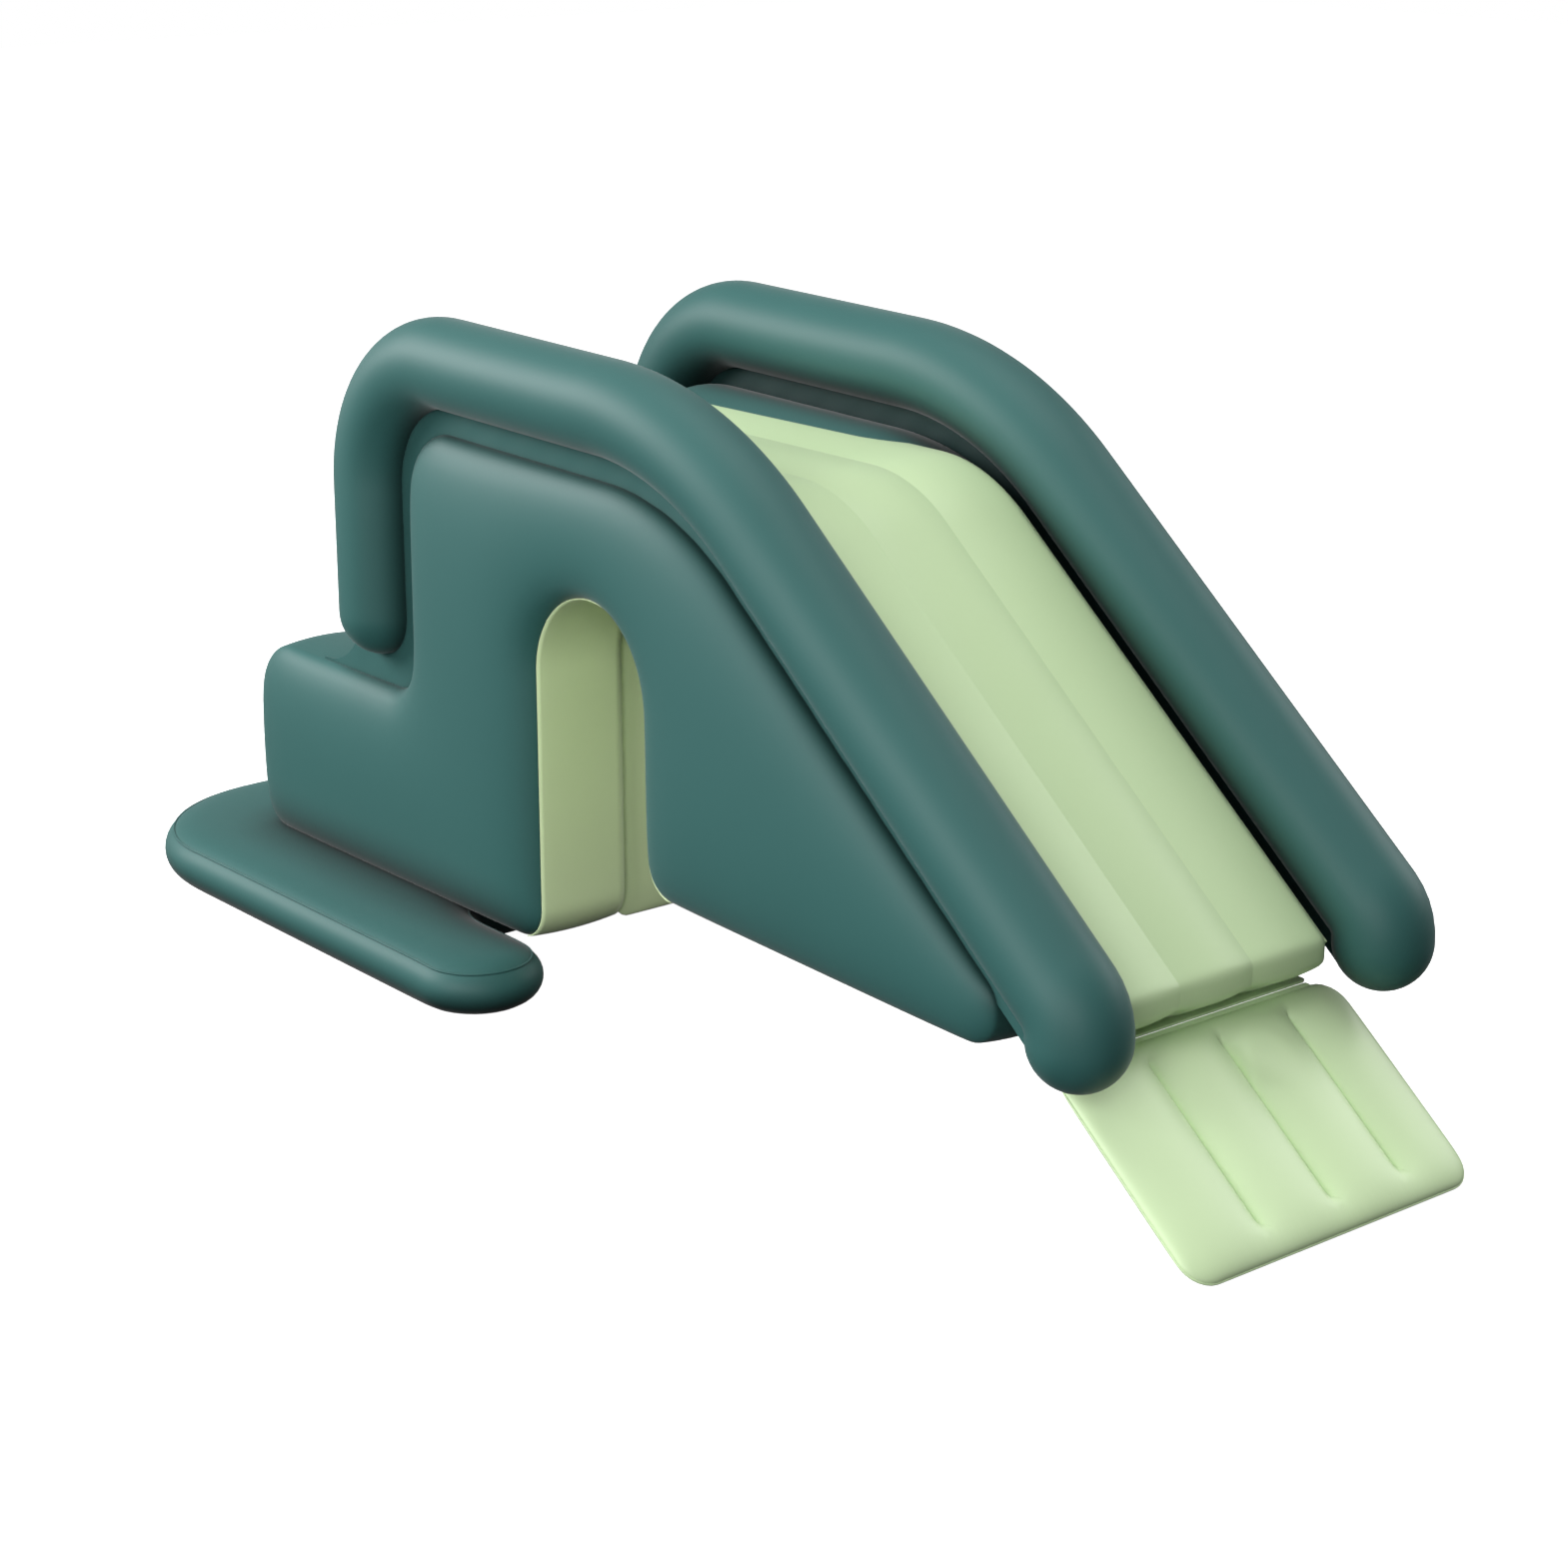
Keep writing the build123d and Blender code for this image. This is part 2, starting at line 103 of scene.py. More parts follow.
def shiftedCorners(corners, distance):
    # corners of a bent line moved to the right of its direction
    runs = []
    for (x1, z1), (x2, z2) in zip(corners, corners[1:]):
        length = math.hypot(x2 - x1, z2 - z1)
        runs.append((x1, z1, (x2 - x1) / length, (z2 - z1) / length))
    x, z, dx, dz = runs[0]
    moved = [(x + distance * dz, z - distance * dx)]
    for (x1, z1, dx1, dz1), (x2, z2, dx2, dz2) in zip(runs, runs[1:]):
        ax, az = x1 + distance * dz1, z1 - distance * dx1
        bx, bz = x2 + distance * dz2, z2 - distance * dx2
        along = ((bx - ax) * dz2 - (bz - az) * dx2) / (dx1 * dz2 - dz1 * dx2)
        moved.append((ax + along * dx1, az + along * dz1))
    x, z = corners[-1]
    moved.append((x + distance * runs[-1][3], z - distance * runs[-1][2]))
    return moved


def belowSlope(distance, x):
    line = form["bendZ"] - (x - form["bendX"]) * math.tan(slopeAngle)
    return line - distance / math.cos(slopeAngle)


def belowSlopeX(distance, z):
    drop = form["bendZ"] - distance / math.cos(slopeAngle) - z
    return form["bendX"] + drop / math.tan(slopeAngle)


def roundedLine(corners, step, closed=False):
    # straight runs and arcs through corners (x, z, radius), as evenly spaced points
    points = []
    count = len(corners)
    for number, (x, z, radius) in enumerate(corners):
        here = np.array((x, z))
        if radius == 0 or (not closed and number in (0, count - 1)):
            points.append(here)
            continue
        back = np.array(corners[number - 1][:2]) - here
        ahead = np.array(corners[(number + 1) % count][:2]) - here
        back /= np.linalg.norm(back)
        ahead /= np.linalg.norm(ahead)
        half = math.acos(np.clip(back @ ahead, -1, 1)) / 2
        middle = (back + ahead) / np.linalg.norm(back + ahead)
        centre = here + middle * radius / math.sin(half)
        reach = radius / math.tan(half)
        first = here + back * reach - centre
        last = here + ahead * reach - centre
        turn = math.pi - 2 * half
        steps = max(3, math.ceil(turn * radius / step * 6))
        for k in range(steps + 1):
            angle = turn * k / steps
            weight = (math.sin(turn - angle) * first + math.sin(angle) * last) / math.sin(turn)
            points.append(centre + weight)
    line = np.array(points + points[:1] if closed else points)
    return spacedLine(line, step, closed)


def spacedLine(line, step, closed=False):
    run = np.concatenate([[0], np.cumsum(np.linalg.norm(np.diff(line, axis=0), axis=1))])
    count = max(2, round(run[-1] / step))
    at = np.linspace(0, run[-1], count + 1)
    spaced = np.stack([np.interp(at, run, line[:, axis]) for axis in range(line.shape[1])], 1)
    return spaced[:-1] if closed else spaced


def outwardNormals(outline):
    # normals of a closed outline that point away from its inside
    ahead = np.roll(outline, -1, 0) - np.roll(outline, 1, 0)
    ahead /= np.linalg.norm(ahead, axis=1)[:, None]
    x, z = outline.T
    area = np.sum(x * np.roll(z, -1) - np.roll(x, -1) * z)
    sign = 1 if area > 0 else -1
    return np.stack([ahead[:, 1], -ahead[:, 0]], 1) * sign


def smoothStep(value, low, high):
    t = np.clip((value - low) / (high - low), 0, 1)
    return t * t * (3 - 2 * t)


# ---- sheets: a flat outline in fine triangles, and how air lifts it ----


def insideOutline(points, outline):
    x, z = points[:, 0][:, None], points[:, 1][:, None]
    x1, z1 = outline.T
    x2, z2 = np.roll(outline, -1, 0).T
    crosses = (z1 > z) != (z2 > z)
    with np.errstate(divide="ignore", invalid="ignore"):
        at = (x2 - x1) * (z - z1) / (z2 - z1) + x1
    return (crosses & (x < at)).sum(1) % 2 == 1


def gapToLine(points, line):
    first, run = line[:-1], np.diff(line, axis=0)
    away = points[:, None, :] - first[None]
    share = np.clip((away * run).sum(-1) / (run * run).sum(-1), 0, 1)
    return np.sqrt(((away - share[..., None] * run) ** 2).sum(-1).min(1))


rimSteps = (0.0006, 0.0023, 0.005, 0.009, 0.014, 0.0205)


def cutSheet(outline, spacing, seams=(), rings=rimSteps):
    # points and triangles inside an outline, finer towards its rim and its seams
    count = len(outline)
    inward = -outwardNormals(outline)
    closedRim = np.vstack([outline, outline[:1]])
    layers = [outline + inward * gap for gap in rings]
    low, high = outline.min(0), outline.max(0)
    rows = np.arange(low[1], high[1], spacing * math.sqrt(3) / 2)
    columns = np.arange(low[0], high[0], spacing)
    grid = np.array([(x + spacing / 2 * (k % 2), z) for k, z in enumerate(rows) for x in columns])
    grid = grid[insideOutline(grid, outline)]
    grid = grid[gapToLine(grid, closedRim) > rings[-1] + spacing * 0.6]
    for seam in seams:
        across = seam[-1] - seam[0]
        across = np.array((-across[1], across[0])) / np.linalg.norm(across)
        for gap in rings[1:5]:
            layers += [seam + across * gap, seam - across * gap]
        grid = grid[gapToLine(grid, seam) > rings[4] + spacing * 0.6]
    points = np.vstack([outline, *seams, *layers, grid])
    edges = [(k, (k + 1) % count) for k in range(count)]
    start = count
    held = np.zeros(len(points), bool)
    held[:count] = True
    for seam in seams:
        edges += [(start + k, start + k + 1) for k in range(len(seam) - 1)]
        held[start:start + len(seam)] = True
        start += len(seam)
    made = delaunay_2d_cdt([Vector(p) for p in points], edges, [list(range(count))], 1, 1e-7)
    flat = np.array([tuple(p) for p in made[0]])
    sources = made[3]
    place = np.full(len(points), -1)
    for new, olds in enumerate(sources):
        for old in olds:
            place[old] = new
    heldNew = np.array([any(held[old] for old in olds) for olds in sources])
    faces = np.array([face for face in made[2] if len(face) == 3])
    ringRows = []
    start = count + sum(len(seam) for seam in seams)
    for k in range(len(rings)):
        ringRows.append(place[start + k * count:start + (k + 1) * count])
    return {"flat": flat, "faces": faces, "rim": place[:count], "held": heldNew, "rings": ringRows}


def inflate(sheet, reach):
    # height share from 0 at the welds to 1 well inside: a skin pulled level over this reach
    flat, faces, held = sheet["flat"], sheet["faces"], sheet["held"]
    corners = flat[faces]
    size = len(flat)
    area = np.abs(np.cross(corners[:, 1] - corners[:, 0], corners[:, 2] - corners[:, 0])) / 2
    area = np.maximum(area, 1e-12)
    mass = np.bincount(faces.ravel(), np.repeat(area / 3, 3), size)
    ends, weights = [], []
    for k in range(3):
        a, b, c = faces[:, k], faces[:, (k + 1) % 3], faces[:, (k + 2) % 3]
        dot = ((flat[a] - flat[c]) * (flat[b] - flat[c])).sum(1)
        ends.append(np.stack([a, b], 1))
        weights.append(dot / (4 * area))
    ends, weights = np.vstack(ends), np.concatenate(weights)
    left, right = ends.T
    diagonal = np.bincount(left, weights, size) + np.bincount(right, weights, size) + mass / reach ** 2
    free = ~held

    def apply(values):
        out = diagonal * values
        out -= np.bincount(left, weights * values[right], size)
        out -= np.bincount(right, weights * values[left], size)
        return np.where(free, out, 0)

    share = np.zeros(size)
    residual = np.where(free, mass / reach ** 2, 0) - apply(share)
    scaled = residual / diagonal
    search = scaled.copy()
    energy = residual @ scaled
    for _ in range(900):
        applied = apply(search)
        pace = energy / (search @ applied)
        share += pace * search
        residual -= pace * applied
        scaled = residual / diagonal
        fresh = residual @ scaled
        if fresh < 1e-16:
            break
        search = scaled + fresh / energy * search
        energy = fresh
    share = np.clip(share, 0, None)
    return np.sqrt(share / share.max())


def meshObject(name, points, faces, closed=True):
    mesh = bpy.data.meshes.new(name)
    mesh.from_pydata([tuple(p) for p in points], [], [tuple(int(k) for k in face) for face in faces])
    work = bmesh.new()
    work.from_mesh(mesh)
    bmesh.ops.remove_doubles(work, verts=work.verts, dist=1e-6)
    bmesh.ops.dissolve_degenerate(work, dist=1e-7, edges=work.edges)
    if closed:
        bmesh.ops.recalc_face_normals(work, faces=work.faces)
    work.to_mesh(mesh)
    work.free()
    mesh.shade_smooth()
    piece = bpy.data.objects.new(name, mesh)
    bpy.context.scene.collection.objects.link(piece)
    return piece


def shell(name, sheet, top, bottom, place, rows=()):
    # two lifted copies of a sheet, joined round the rim through any rows between
    flat, faces, rim = sheet["flat"], sheet["faces"], sheet["rim"]
    size, count = len(flat), len(rim)
    points = [place(flat, top), place(flat, bottom)]
    bands = [rim, *[2 * size + k * count + np.arange(count) for k in range(len(rows))], rim + size]
    points += list(rows)
    allFaces = [*faces, *(faces[:, ::-1] + size)]
    for first, second in zip(bands, bands[1:]):
        for k in range(count):
            m = (k + 1) % count
            allFaces.append((first[k], first[m], second[m], second[k]))
    return meshObject(name, np.vstack(points), allFaces)


def mirrored(name, piece):
    mesh = piece.data.copy()
    mesh.name = name
    for vertex in mesh.vertices:
        vertex.co.y = -vertex.co.y
    mesh.flip_normals()
    other = bpy.data.objects.new(name, mesh)
    bpy.context.scene.collection.objects.link(other)
    return other


# ---- nodes and materials ----


def addNode(tree, kind, settings, feeds):
    node = tree.nodes.new(kind)
    for key, value in settings.items():
        setattr(node, key, value)
    for key, value in feeds.items():
        if isinstance(value, bpy.types.NodeSocket):
            tree.links.new(value, node.inputs[key])
        else:
            node.inputs[key].default_value = value
    return node


def linearColour(code):
    shares = [int(code[k:k + 2], 16) / 255 for k in (1, 3, 5)]
    return (*[s / 12.92 if s <= 0.04045 else ((s + 0.055) / 1.055) ** 2.4 for s in shares], 1)


def pvcMaterial(name, look):
    # calendered PVC film: smooth, slightly waxy, with a faint roller grain
    material = bpy.data.materials.new(name)
    material.use_nodes = True
    tree = material.node_tree
    tree.nodes.clear()
    place = addNode(tree, "ShaderNodeTexCoord", {}, {}).outputs["Object"]
    cloud = addNode(tree, "ShaderNodeTexNoise", {}, {
        "Vector": place, "Scale": 1 / look["cloudSize"], "Detail": 2, "Roughness": 0.5})
    tone = addNode(tree, "ShaderNodeMix", {"data_type": "RGBA"}, {
        0: cloud.outputs["Fac"], 6: linearColour(look["shade"]), 7: linearColour(look["tint"])})
    colour = tone.outputs[2]
    if look["paintedShade"] > 0:
        # painted shade: the colour darkens towards near-black near other surfaces, standing in for the shade
        # where chambers meet
        near = addNode(tree, "ShaderNodeAmbientOcclusion", {"samples": 8}, {
            "Distance": look["paintedShadeReach"]})
        depth = addNode(tree, "ShaderNodeMapRange", {}, {
            "Value": near.outputs["AO"], "From Min": 0.25, "From Max": 0.85,
            "To Min": 1 - look["paintedShade"], "To Max": 1.0})
        shadedColour = addNode(tree, "ShaderNodeMix", {"data_type": "RGBA"}, {
            0: depth.outputs["Result"], 6: linearColour("#08211f"), 7: colour})
        colour = shadedColour.outputs[2]
    grain = addNode(tree, "ShaderNodeTexNoise", {}, {
        "Vector": place, "Scale": 1 / look["grainSize"], "Detail": 3, "Roughness": 0.6})
    stretch = addNode(tree, "ShaderNodeMapping", {}, {
        "Vector": place, "Scale": (1, 4, 1)})
    ripple = addNode(tree, "ShaderNodeTexNoise", {}, {
        "Vector": stretch.outputs["Vector"], "Scale": 1 / look["rippleSize"], "Detail": 2})
    fine = addNode(tree, "ShaderNodeBump", {}, {
        "Height": grain.outputs["Fac"], "Strength": look["grainBump"], "Distance": 0.0002})
    broad = addNode(tree, "ShaderNodeBump", {}, {
        "Height": ripple.outputs["Fac"], "Strength": look["rippleBump"], "Distance": 0.002,
        "Normal": fine.outputs["Normal"]})
    gloss = addNode(tree, "ShaderNodeMapRange", {}, {
        "Value": grain.outputs["Fac"], "To Min": look["roughness"] - 0.04,
        "To Max": look["roughness"] + 0.04})
    surface = addNode(tree, "ShaderNodeBsdfPrincipled", {}, {
        "Base Color": colour, "Roughness": gloss.outputs["Result"], "IOR": 1.53,
        "Specular IOR Level": 0.32,
        "Coat Weight": look["coat"], "Coat Roughness": 0.22,
        "Sheen Weight": look["sheen"], "Sheen Roughness": 0.35,
        "Normal": broad.outputs["Normal"]})
    addNode(tree, "ShaderNodeOutputMaterial", {}, {"Surface": surface.outputs["BSDF"]})
    return material


# the teal carries painted shade near other surfaces
tealPvc = pvcMaterial("teal calendered PVC", {
    "shade": "#2f5d5a", "tint": "#346360", "cloudSize": 0.35, "grainSize": 0.0016,
    "rippleSize": 0.09, "grainBump": 0.25, "rippleBump": 0.10, "roughness": 0.55,
    "coat": 0.0, "sheen": 0.14, "paintedShade": 0.95, "paintedShadeReach": 0.11})
greenPvc = pvcMaterial("pale green calendered PVC", {
    "shade": "#c7e1ae", "tint": "#cee6b8", "cloudSize": 0.30, "grainSize": 0.0016,
    "rippleSize": 0.08, "grainBump": 0.22, "rippleBump": 0.10, "roughness": 0.45,
    "coat": 0.08, "sheen": 0.12, "paintedShade": 0.0})
# painted light: the mat and the tunnel lining get lighter copies of the bed's green, standing in for the
# light that falls on them
matLitPvc = pvcMaterial("pale green PVC lit copy for the mat", {
    "shade": "#d6f0bb", "tint": "#dcf4c5", "cloudSize": 0.30, "grainSize": 0.0016,
    "rippleSize": 0.08, "grainBump": 0.22, "rippleBump": 0.10, "roughness": 0.45,
    "coat": 0.08, "sheen": 0.12, "paintedShade": 0.0})
liningLitPvc = pvcMaterial("pale green PVC lit copy for the lining", {
    "shade": "#d9edb8", "tint": "#e0f2c2", "cloudSize": 0.30, "grainSize": 0.0016,
    "rippleSize": 0.08, "grainBump": 0.22, "rippleBump": 0.10, "roughness": 0.50,
    "coat": 0.0, "sheen": 0.12, "paintedShade": 0.0})
valvePvc = pvcMaterial("clear moulded PVC", {
    "shade": "#cfd9d2", "tint": "#d9e2dc", "cloudSize": 0.02, "grainSize": 0.0008,
    "rippleSize": 0.01, "grainBump": 0.10, "rippleBump": 0.05, "roughness": 0.28,
    "coat": 0.40, "sheen": 0.0, "paintedShade": 0.0})


def finish(piece, body, material, nodes=()):
    piece.data.materials.clear()
    piece.data.materials.append(material)
    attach(piece, body)
    if nodes:
        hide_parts(*nodes)
    return piece


# ---- Geometry Nodes: tubes and weld beads that follow a line ----


def newTree(name, sizes):
    tree = bpy.data.node_groups.new(name, "GeometryNodeTree")
    tree.interface.new_socket("Geometry", in_out="INPUT", socket_type="NodeSocketGeometry")
    for label, kind in sizes:
        tree.interface.new_socket(label, in_out="INPUT", socket_type=kind)
    tree.interface.new_socket("Geometry", in_out="OUTPUT", socket_type="NodeSocketGeometry")
    return tree, addNode(tree, "NodeGroupInput", {}, {})


def endTree(tree, source, shape):
    merged = addNode(tree, "GeometryNodeMergeByDistance", {}, {
        "Geometry": shape, "Distance": 0.00004})
    smooth = addNode(tree, "GeometryNodeSetShadeSmooth", {}, {"Geometry": merged.outputs[0]})
    real = addNode(tree, "GeometryNodeRealizeInstances", {}, {"Geometry": smooth.outputs[0]})
    painted = addNode(tree, "GeometryNodeSetMaterial", {}, {
        "Geometry": real.outputs[0], "Material": source.outputs["Material"]})
    addNode(tree, "NodeGroupOutput", {}, {"Geometry": painted.outputs[0]})


# a tube blown up along a line, closing to a rounded end at both ends
tubeTree, tubeIn = newTree("inflatedTube", [
    ("Radius", "NodeSocketFloat"), ("Sides", "NodeSocketInt"), ("Material", "NodeSocketMaterial")])
along = addNode(tubeTree, "GeometryNodeSplineParameter", {}, {})
whole = addNode(tubeTree, "GeometryNodeSplineLength", {}, {})
rest = addNode(tubeTree, "ShaderNodeMath", {"operation": "SUBTRACT"}, {
    0: whole.outputs["Length"], 1: along.outputs["Length"]})
nearer = addNode(tubeTree, "ShaderNodeMath", {"operation": "MINIMUM"}, {
    0: along.outputs["Length"], 1: rest.outputs[0]})
share = addNode(tubeTree, "ShaderNodeMath", {"operation": "DIVIDE", "use_clamp": True}, {
    0: nearer.outputs[0], 1: tubeIn.outputs["Radius"]})
opposite = addNode(tubeTree, "ShaderNodeMath", {"operation": "SUBTRACT"}, {
    0: 2.0, 1: share.outputs[0]})
product = addNode(tubeTree, "ShaderNodeMath", {"operation": "MULTIPLY"}, {
    0: share.outputs[0], 1: opposite.outputs[0]})
girth = addNode(tubeTree, "ShaderNodeMath", {"operation": "SQRT"}, {0: product.outputs[0]})
ring = addNode(tubeTree, "GeometryNodeCurvePrimitiveCircle", {}, {
    "Resolution": tubeIn.outputs["Sides"], "Radius": tubeIn.outputs["Radius"]})
tube = addNode(tubeTree, "GeometryNodeCurveToMesh", {}, {
    "Curve": tubeIn.outputs["Geometry"], "Profile Curve": ring.outputs["Curve"],
    "Scale": girth.outputs[0]})
endTree(tubeTree, tubeIn, tube.outputs[0])

# a welded bead along a line
beadTree, beadIn = newTree("weldBead", [
    ("Radius", "NodeSocketFloat"), ("Step", "NodeSocketFloat"), ("Material", "NodeSocketMaterial")])
spaced = addNode(beadTree, "GeometryNodeResampleCurve", {"mode": "LENGTH"}, {
    "Curve": beadIn.outputs["Geometry"], "Length": beadIn.outputs["Step"]})
ring = addNode(beadTree, "GeometryNodeCurvePrimitiveCircle", {}, {
    "Resolution": 8, "Radius": beadIn.outputs["Radius"]})
bead = addNode(beadTree, "GeometryNodeCurveToMesh", {}, {
    "Curve": spaced.outputs[0], "Profile Curve": ring.outputs["Curve"], "Fill Caps": True})
endTree(beadTree, beadIn, bead.outputs[0])


def alongLine(name, points, closed, tree, values):
    # runs a tree over a line and keeps the result as a plain mesh
    curve = bpy.data.curves.new(name, "CURVE")
    curve.dimensions = "3D"
    spline = curve.splines.new("POLY")
    spline.points.add(len(points) - 1)
    for point, place in zip(spline.points, points):
        point.co = (*place, 1)
    spline.use_cyclic_u = closed
    source = bpy.data.objects.new(name + "_line", curve)
    bpy.context.scene.collection.objects.link(source)
    modifier = source.modifiers.new("nodes", "NODES")
    modifier.node_group = tree
    for item in tree.interface.items_tree:
        if item.in_out == "INPUT" and item.name in values:
            modifier[item.identifier] = values[item.name]
    evaluated = source.evaluated_get(bpy.context.evaluated_depsgraph_get())
    mesh = bpy.data.meshes.new_from_object(evaluated)
    mesh.name = name
    source.modifiers.remove(modifier)
    bpy.data.objects.remove(source)
    bpy.data.curves.remove(curve)
    piece = bpy.data.objects.new(name, mesh)
    bpy.context.scene.collection.objects.link(piece)
    return piece


def sidePoints(flat, y):
    # points given in X and Z, set at Y
    return np.stack([flat[:, 0], np.broadcast_to(y, len(flat)), flat[:, 1]], 1)


# ---- valve pockets ----

valveAxes = {
    "pad": Vector((0, 0, 1)),
    "stairs": Vector((-1, 0, 0)),
    "right_rail": Vector((-1, 0, 0)),
    "left_rail": Vector((-1, 0, 0)),
    "bed": Vector((-math.sin(slopeAngle), 0, -math.cos(slopeAngle))),
}
matHang = {"hingeX": 0.768, "hingeZ": 0.184, "thickness": 0.036, "endX": 1.0, "gap": 0.0005}
matHinge = Vector((matHang["hingeX"], 0, matHang["hingeZ"]))
matThickness = matHang["thickness"]
matReach = matHang["endX"] - matThickness / 2 - matHang["gap"] - matHinge.x
matDrop = matHinge.z - matThickness / 2 - matHang["gap"]
matAngle = math.atan2(matDrop, matReach)
matAlong = Vector((math.cos(matAngle), 0, -math.sin(matAngle)))
matUp = Vector((math.sin(matAngle), 0, math.cos(matAngle)))
matLength = math.hypot(matReach, matDrop) + matThickness / 2
valveAxes["mat"] = -matUp

pocket = {"radius": 0.0155, "depth": 0.033, "flapDepth": 0.0167}


def valveCentre(name):
    low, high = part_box(name + "_valve_flap")
    return (low + high) / 2 + valveAxes[name] * pocket["flapDepth"]


def cutPocket(piece, name):
    # the well in the skin that the valve's body sits in
    axis, centre = valveAxes[name], valveCentre(name)
    work = bmesh.new()
    bmesh.ops.create_cone(work, cap_ends=True, segments=32, radius1=pocket["radius"],
                          radius2=pocket["radius"], depth=pocket["depth"] * 2)
    turn = axis.to_track_quat("Z", "Y")
    for vertex in work.verts:
        vertex.co = centre + turn @ vertex.co
    mesh = bpy.data.meshes.new("cutter")
    work.to_mesh(mesh)
    work.free()
    cutter = bpy.data.objects.new("cutter", mesh)
    bpy.context.scene.collection.objects.link(cutter)
    cut = piece.modifiers.new("pocket", "BOOLEAN")
    cut.operation = "DIFFERENCE"
    cut.solver = "EXACT"
    cut.object = cutter
    evaluated = piece.evaluated_get(bpy.context.evaluated_depsgraph_get())
    made = bpy.data.meshes.new_from_object(evaluated)
    piece.modifiers.remove(cut)
    piece.data = made
    bpy.data.objects.remove(cutter)
    bpy.data.meshes.remove(mesh)
    made.set_sharp_from_angle(angle=math.radians(62))


# ---- handrails ----

rail = {"sides": 56, "step": 0.010, "endSteps": 14}


def railLine():
    corners = [(x, z) for x, z in railCorners]
    corners[0] = (legX, form["legEndZ"] - railRadius)
    corners[-1] = (footX, form["footZ"] - form["footDrop"] - railRadius)
    radii = [0, form["rearBend"], form["frontBend"], form["footBend"], 0]
    line = roundedLine([(*c, r) for c, r in zip(corners, radii)], 0.001)
    run = np.concatenate([[0], np.cumsum(np.linalg.norm(np.diff(line, axis=0), axis=1))])
    turns = np.linspace(0, math.pi / 2, rail["endSteps"] + 1)
    end = railRadius * (1 - np.cos(turns))
    body = np.linspace(railRadius, run[-1] - railRadius, round(run[-1] / rail["step"]))
    at = np.concatenate([end, body[1:-1], run[-1] - end[::-1]])
    return np.stack([np.interp(at, run, line[:, axis]) for axis in (0, 1)], 1)


railPath = railLine()
for side, sign in (("right", -1), ("left", 1)):
    piece = alongLine(side + "_rail_tube", sidePoints(railPath, sign * railY), False, tubeTree, {
        "Radius": railRadius, "Sides": rail["sides"], "Material": tealPvc})
    cutPocket(piece, side + "_rail")
    finish(piece, "slide_body", tealPvc, [side + "_handrail"])
print("handrails blown up")

# ---- side walls ----

wall = {
    "spacing": 0.0095,
    "edgeStep": 0.007,
    "reach": 0.060,          # how far in from the welds the dome keeps rising
    "innerBulge": 0.003,
    "bandRows": 14,
    "bandBulge": 0.005,
    "topBulge": 0.016,       # the top stands up beside the bed
    "tunnelBulge": 0.003,
}

railToWall = railRadius + form["webWidth"]
legEdge, topEdge, bendEdge, _, _ = shiftedCorners(railCorners, railToWall)
tipX = belowSlopeX(railToWall, form["tipZ"])
wallCorners = [
    (wallLow.x, padTop, form["footCorner"]),
    (wallLow.x, form["treadZ"], form["treadCorner"]),
    (legEdge[0], form["treadZ"], form["innerCorner"]),
    (*topEdge, form["rearBend"] - railToWall),
    (*bendEdge, form["frontBend"] - railToWall),
    (tipX, form["tipZ"], form["tipCorner"]),
    (form["tunnelFrontX"], form["frontFootZ"], form["footCorner"]),
    (form["tunnelFrontX"], form["tunnelTopZ"], form["archCorner"]),
    (form["tunnelRearX"], form["tunnelTopZ"], form["archCorner"]),
    (form["tunnelRearX"], padTop, form["footCorner"]),
]
wallOutline = roundedLine(wallCorners, wall["edgeStep"], closed=True)
wallNormals = outwardNormals(wallOutline)


def bandBulge(outline, normals):
    # how far the wall's edge band stands out between its two welds
    x, z = outline.T
    top = smoothStep(normals[:, 1], 0.2, 0.8) * smoothStep(z, 0.56, 0.70)
    inTunnel = (x > form["tunnelRearX"] - 0.05) & (x < form["tunnelFrontX"] + 0.05)
    inTunnel &= z < form["tunnelTopZ"] + 0.001
    onPad = smoothStep(-normals[:, 1], 0.5, 0.9) * (x < form["tunnelRearX"])
    bulge = wall["bandBulge"] + (wall["topBulge"] - wall["bandBulge"]) * top
    return np.where(inTunnel, wall["tunnelBulge"], bulge * (1 - onPad))


def bandRow(share, extra=0.0):
    bulge = bandBulge(wallOutline, wallNormals) * 4 * share * (1 - share)
    moved = wallOutline + wallNormals * (bulge + extra)[:, None]
    return sidePoints(moved, -(rimY + (wallInnerY - rimY) * share))


wallSheet = cutSheet(wallOutline, wall["spacing"])
lift = inflate(wallSheet, wall["reach"])
shares = np.linspace(0, 1, wall["bandRows"] + 2)[1:-1]
rightWall = shell(
    "right_wall_chamber", wallSheet, -(rimY + wallProud * lift),
    -(wallInnerY - wall["innerBulge"] * lift), sidePoints, [bandRow(s) for s in shares])
leftWall = mirrored("left_wall_chamber", rightWall)
finish(rightWall, "slide_body", tealPvc, ["right_side_wall"])
finish(leftWall, "slide_body", tealPvc, ["left_side_wall"])
print("side walls blown up,", len(rightWall.data.vertices), "points")

# ---- webs between rail and wall ----

web = {"thickness": 0.0024, "tuck": 0.007, "spacing": 0.009, "pucker": 0.0004,
       "flareX": 0.152, "flareRadius": 0.088, "footZ": 0.192, "buried": 0.020,
       "corner": 0.008, "innerCorner": 0.010,
       "waveX": 90, "waveZ": 70, "bend": 2, "bendZ": 21}


